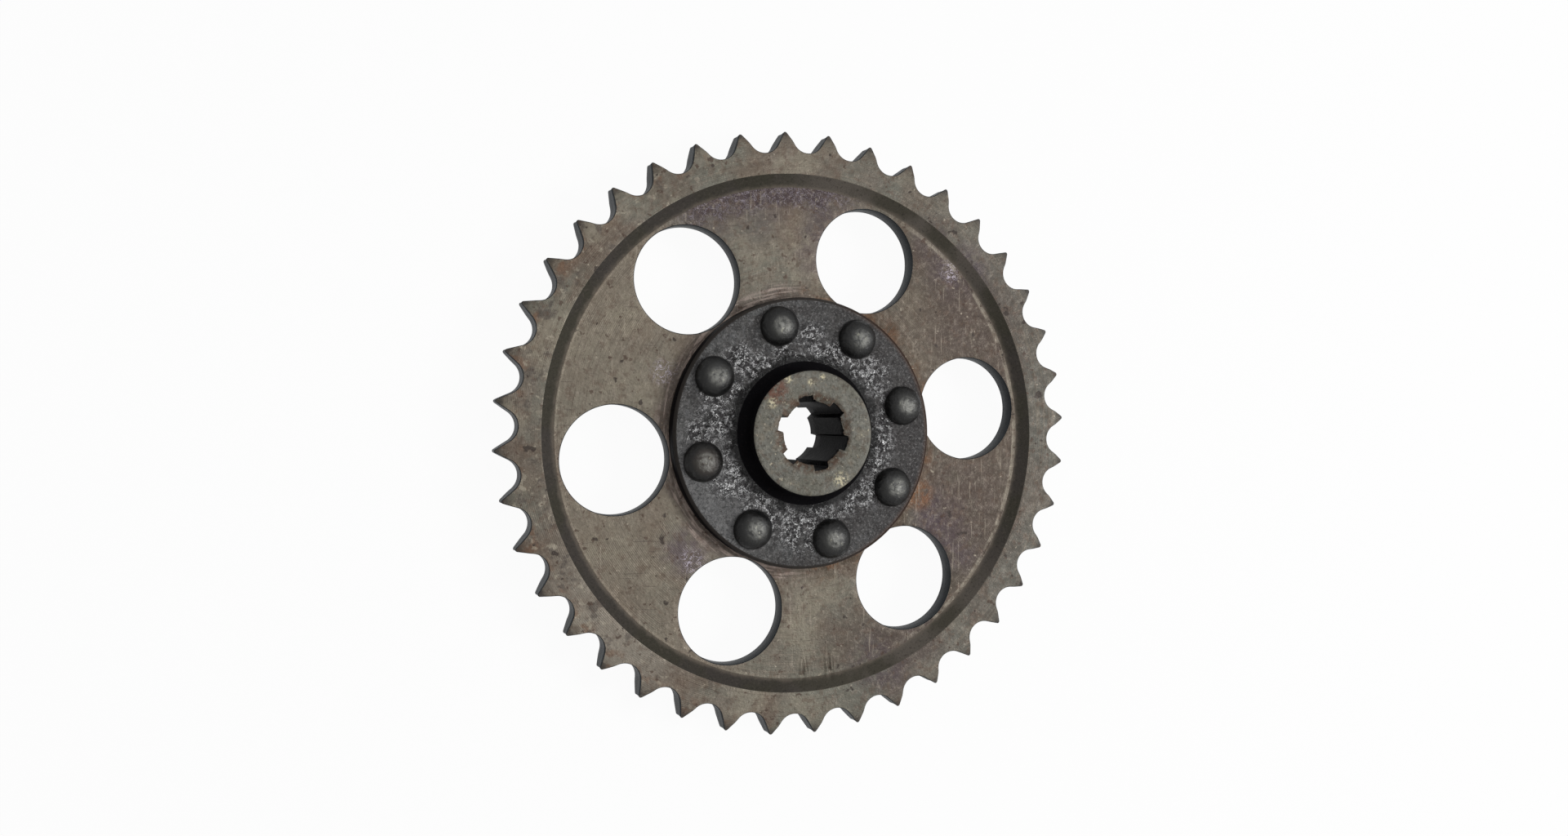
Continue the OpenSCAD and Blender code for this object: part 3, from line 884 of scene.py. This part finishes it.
def rivet_tree(material, sizes):
    """Geometry Nodes that make one two-headed rivet and repeat it round the flange."""
    tree = bpy.data.node_groups.new("rivet_ring", "GeometryNodeTree")
    tree.interface.new_socket(name="Geometry", in_out="OUTPUT", socket_type="NodeSocketGeometry")
    for name, size in sizes.items():
        kind = "NodeSocketInt" if isinstance(size, int) else "NodeSocketFloat"
        tree.interface.new_socket(name=name, in_out="INPUT", socket_type=kind).default_value = size
    given = add(tree, "NodeGroupInput").outputs

    # A unit ball, its lower half pressed flat and its top slightly flattened, scaled to the head
    ball = add(tree, "GeometryNodeMeshUVSphere", {"Segments": 56, "Rings": 40,
                                                  "Radius": 1.0}).outputs["Mesh"]
    at = add(tree, "ShaderNodeSeparateXYZ", {0: add(tree, "GeometryNodeInputPosition").outputs[0]}).outputs
    up = add(tree, "ShaderNodeMath", {0: at[2], 1: 0.0}, operation="MAXIMUM").outputs[0]
    sixth = add(tree, "ShaderNodeMath", {0: up, 1: 6.0}, operation="POWER").outputs[0]
    flat_top = add(tree, "ShaderNodeMath", {0: sixth, 1: -0.05, 2: up}, operation="MULTIPLY_ADD").outputs[0]
    unit = add(tree, "ShaderNodeCombineXYZ", {0: at[0], 1: at[1], 2: flat_top}).outputs[0]
    size = add(tree, "ShaderNodeCombineXYZ", {
        0: given["Head Radius"], 1: given["Head Radius"], 2: given["Head Height"]}).outputs[0]
    shape = add(tree, "ShaderNodeVectorMath", {0: unit, 1: size}, operation="MULTIPLY").outputs[0]
    dome = add(tree, "GeometryNodeSetPosition", {"Geometry": ball, "Position": shape}).outputs[0]
    shank = add(tree, "GeometryNodeMeshCylinder", {
        "Vertices": 32, "Radius": given["Shank Radius"], "Depth": given["Grip"]},
                fill_type="TRIANGLE_FAN").outputs["Mesh"]
    whole = add(tree, "GeometryNodeJoinGeometry")
    tree.links.new(dome, whole.inputs[0])
    for part, depth, turn in ((dome, -1.0, math.pi), (shank, -0.5, 0.0)):
        down = add(tree, "ShaderNodeVectorMath", {0: (0, 0, depth), 3: given["Grip"]},
                   operation="SCALE").outputs[0]
        placed = add(tree, "GeometryNodeTransform", {"Geometry": part, "Translation": down,
                                                     "Rotation": (turn, 0, 0)}).outputs[0]
        tree.links.new(placed, whole.inputs[0])

    # Repeated round the circle, each turned to a different side
    spots = add(tree, "GeometryNodeMeshCircle", {"Vertices": given["Count"],
                                                 "Radius": given["Circle Radius"]}).outputs[0]
    lift = add(tree, "ShaderNodeCombineXYZ", {2: given["Flange Height"]}).outputs[0]
    turn = add(tree, "ShaderNodeCombineXYZ", {2: given["First Angle"]}).outputs[0]
    spots = add(tree, "GeometryNodeTransform", {"Geometry": spots, "Translation": lift,
                                                "Rotation": turn}).outputs[0]
    spin = add(tree, "FunctionNodeRandomValue", {"Min": (0, 0, 0), "Max": (0, 0, 6.28), "Seed": 5},
               data_type="FLOAT_VECTOR").outputs[0]
    copies = add(tree, "GeometryNodeInstanceOnPoints", {
        "Points": spots, "Instance": whole.outputs[0], "Rotation": spin}).outputs[0]
    real = add(tree, "GeometryNodeRealizeInstances", {0: copies}).outputs[0]
    lumps = add(tree, "ShaderNodeTexNoise", {"Scale": 260.0, "Detail": 2.0}).outputs["Color"]
    centred = add(tree, "ShaderNodeVectorMath", {0: lumps, 1: (0.5, 0.5, 0.6)},
                  operation="SUBTRACT").outputs[0]
    push = add(tree, "ShaderNodeVectorMath", {0: centred, 3: given["Unevenness"]},
               operation="SCALE").outputs[0]
    uneven = add(tree, "GeometryNodeSetPosition", {"Geometry": real, "Offset": push}).outputs[0]
    smooth = add(tree, "GeometryNodeSetShadeSmooth", {0: uneven}).outputs[0]
    painted = add(tree, "GeometryNodeSetMaterial", {"Geometry": smooth, "Material": material}).outputs[0]
    add(tree, "NodeGroupOutput", {0: painted})
    return tree


def grown(name, tree, sizes):
    """Runs a Geometry Nodes tree with these sizes and keeps its result as a plain mesh."""
    holder = bpy.data.objects.new(name + "_source", bpy.data.meshes.new(name + "_source"))
    bpy.context.scene.collection.objects.link(holder)
    modifier = holder.modifiers.new("grow", "NODES")
    modifier.node_group = tree
    identifiers = {s.name: s.identifier for s in tree.interface.items_tree if s.in_out == "INPUT"}
    for key, size in sizes.items():
        modifier[identifiers[key]] = size
    evaluated = holder.evaluated_get(bpy.context.evaluated_depsgraph_get())
    mesh = bpy.data.meshes.new_from_object(evaluated)
    bpy.data.objects.remove(holder)
    mesh.name = name
    piece = bpy.data.objects.new(name, mesh)
    bpy.context.scene.collection.objects.link(piece)
    return piece


RIVET_SIZES = {
    "Count": len(rivet_names), "Circle Radius": RIVET_CIRCLE_R * MM,
    "First Angle": math.radians(RIVET_TURN), "Flange Height": FLANGE_FACE * MM, "Grip": GRIP * MM,
    "Head Radius": HEAD_D / 2 * MM, "Head Height": HEAD_H * MM, "Shank Radius": SHANK_D / 2 * MM,
    "Unevenness": 0.35 * MM}
rivets = grown("domed_rivets", rivet_tree(scuffed_rivet_steel_painted_light(), RIVET_SIZES), RIVET_SIZES)
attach(rivets, "root")
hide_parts(*rivet_names)

# ---------------------------------------------------------------------------------------------
# Studio. A white table under the sprocket, seen as white paper that keeps a faint shadow, a large
# soft lamp low on the right and a weaker one above, and white all round.

WHITE = srgb("#ffffff")
SHADOW_LEFT = 0.045              # share of the card's own shading that shows


def seen_white(tree):
    """1 for the rays that look at the background itself or at its mirror image."""
    path = add(tree, "ShaderNodeLightPath").outputs
    seen = path["Is Camera Ray"]
    for ray in ("Is Glossy Ray", "Is Transmission Ray"):
        seen = add(tree, "ShaderNodeMath", {0: seen, 1: path[ray]}, operation="MAXIMUM").outputs[0]
    return seen


def table_paper():
    """White card: bright where it is looked at, with part of its own shading left in for the shadow."""
    material = bpy.data.materials.new("white_table_card")
    material.use_nodes = True
    tree = material.node_tree
    tree.nodes.clear()
    glow = add(tree, "ShaderNodeEmission", {"Color": WHITE, "Strength": 1.0}).outputs[0]
    card = add(tree, "ShaderNodeBsdfDiffuse", {"Color": srgb("#f2f2f2")}).outputs[0]
    share = add(tree, "ShaderNodeMath", {0: seen_white(tree), 1: 1 - SHADOW_LEFT},
                operation="MULTIPLY").outputs[0]
    surface = add(tree, "ShaderNodeMixShader", {0: share, 1: card, 2: glow}).outputs[0]
    add(tree, "ShaderNodeOutputMaterial", {"Surface": surface})
    return material


table = bpy.data.objects.new("table", bpy.data.meshes.new("table"))
TABLE_HALF = 3.0
corners = [(x * TABLE_HALF, y * TABLE_HALF, 0) for x, y in ((-1, -1), (1, -1), (1, 1), (-1, 1))]
table.data.from_pydata(corners, [], [(0, 1, 2, 3)])
table.data.transform(Matrix.Translation((0, 0, cad_low.z - 0.0002)))
table.data.materials.append(table_paper())
bpy.context.scene.collection.objects.link(table)
table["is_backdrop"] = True

world = bpy.data.worlds.new("white_surround")
bpy.context.scene.world = world
world.use_nodes = True
world.node_tree.nodes.clear()
AMBIENT = 0.22
strength = add(world.node_tree, "ShaderNodeMapRange", {
    "Value": seen_white(world.node_tree), "To Min": AMBIENT, "To Max": 1.0}).outputs[0]
surround = add(world.node_tree, "ShaderNodeBackground", {"Color": WHITE, "Strength": strength}).outputs[0]
add(world.node_tree, "ShaderNodeOutputWorld", {"Surface": surround})


def soft_lamp(name, position, size, power):
    """A square area lamp that faces the middle of the sprocket."""
    light = bpy.data.lights.new(name, "AREA")
    light.size = size
    light.energy = power
    lamp = bpy.data.objects.new(name, light)
    lamp.location = position
    lamp.rotation_euler = (-Vector(position)).to_track_quat("-Z", "Y").to_euler()
    bpy.context.scene.collection.objects.link(lamp)


soft_lamp("right_softbox", (0.85, -0.05, 0.90), 0.45, 7.8)
soft_lamp("top_softbox", (0.1, 0.5, 1.2), 0.5, 2.0)

# The camera looks down at the sprocket from its left, 20 degrees off its axis.
CAMERA_FROM_RIM = Vector((-155.41, 3.42, 419.49))
AIM_FROM_RIM = Vector((-6.37, 5.09, 0.0))
CAMERA_ROLL = 0.397
camera = bpy.data.objects.new("camera", bpy.data.cameras.new("camera"))
camera.data.sensor_width = 36.0
camera.data.lens = 29.97
rim_centre = Vector((0, 0, RIM_FACE))
camera.location = (rim_centre + CAMERA_FROM_RIM) * MM
sight = (AIM_FROM_RIM - CAMERA_FROM_RIM).normalized()
right = sight.cross(Vector((0, 1, 0))).normalized()
right.rotate(Matrix.Rotation(math.radians(-CAMERA_ROLL), 3, sight))
up = right.cross(sight)
camera.rotation_euler = Matrix((right, up, -sight)).transposed().to_euler()
bpy.context.scene.collection.objects.link(camera)
bpy.context.scene.camera = camera
bpy.context.scene.view_settings.view_transform = "Standard"

low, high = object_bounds()
